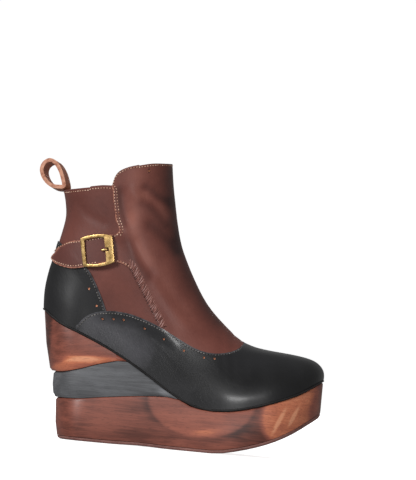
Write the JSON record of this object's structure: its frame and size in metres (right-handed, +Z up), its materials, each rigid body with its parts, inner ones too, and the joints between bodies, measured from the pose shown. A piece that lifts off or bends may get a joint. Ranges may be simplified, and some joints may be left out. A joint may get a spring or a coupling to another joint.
{
  "type": "wedge ankle boot",
  "caption": "Right ankle boot with a layered wooden wedge sole, an inner side zip and a buckled strap at the back.",
  "frame": {"origin": "on the ground under the middle of the boot's box", "axes": "+X to the toe, +Y to the inner side with the zip, +Z up"},
  "size_m": [0.2508, 0.0828, 0.2394],
  "materials": {
    "outsole": "brown rubber sheet",
    "wood": "oiled red-brown hardwood with orange streaks",
    "stained_wood": "wood stained black, satin",
    "board": "black pressed board edge",
    "insole": "light leather sock lining",
    "leather": "waxed brown leather, soft gloss",
    "black_leather": "black leather, soft gloss",
    "brass": "satin brass",
    "old_brass": "antique brass",
    "tape": "woven black zip tape"
  },
  "bodies": {
    "boot": {"outsole": "outsole", "platform": "wood", "wedge_middle": "stained_wood", "wedge_top": "wood", "rand": "board", "insole": "insole", "upper": "leather", "foxing": "black_leather", "heel_counter": "black_leather", "front_panel": "leather", "strap": "leather", "pull_loop": "leather", "buckle_frame": "brass", "buckle_prong": "brass", "zip_tape": "tape", "zip_teeth": "brass", "zip_end_stop": "brass", "zip_slider": "old_brass"},
    "zip_pull": {"zip_pull_tab": "old_brass"}
  },
  "joints": [
    {"name": "tab_flip", "type": "hinge", "parent": "boot", "child": "zip_pull", "pos_m": [-0.07528, 0.03451, 0.19562], "axis": [0.9926, 0.1216, 0], "range_deg": [0, 150]}
  ]
}
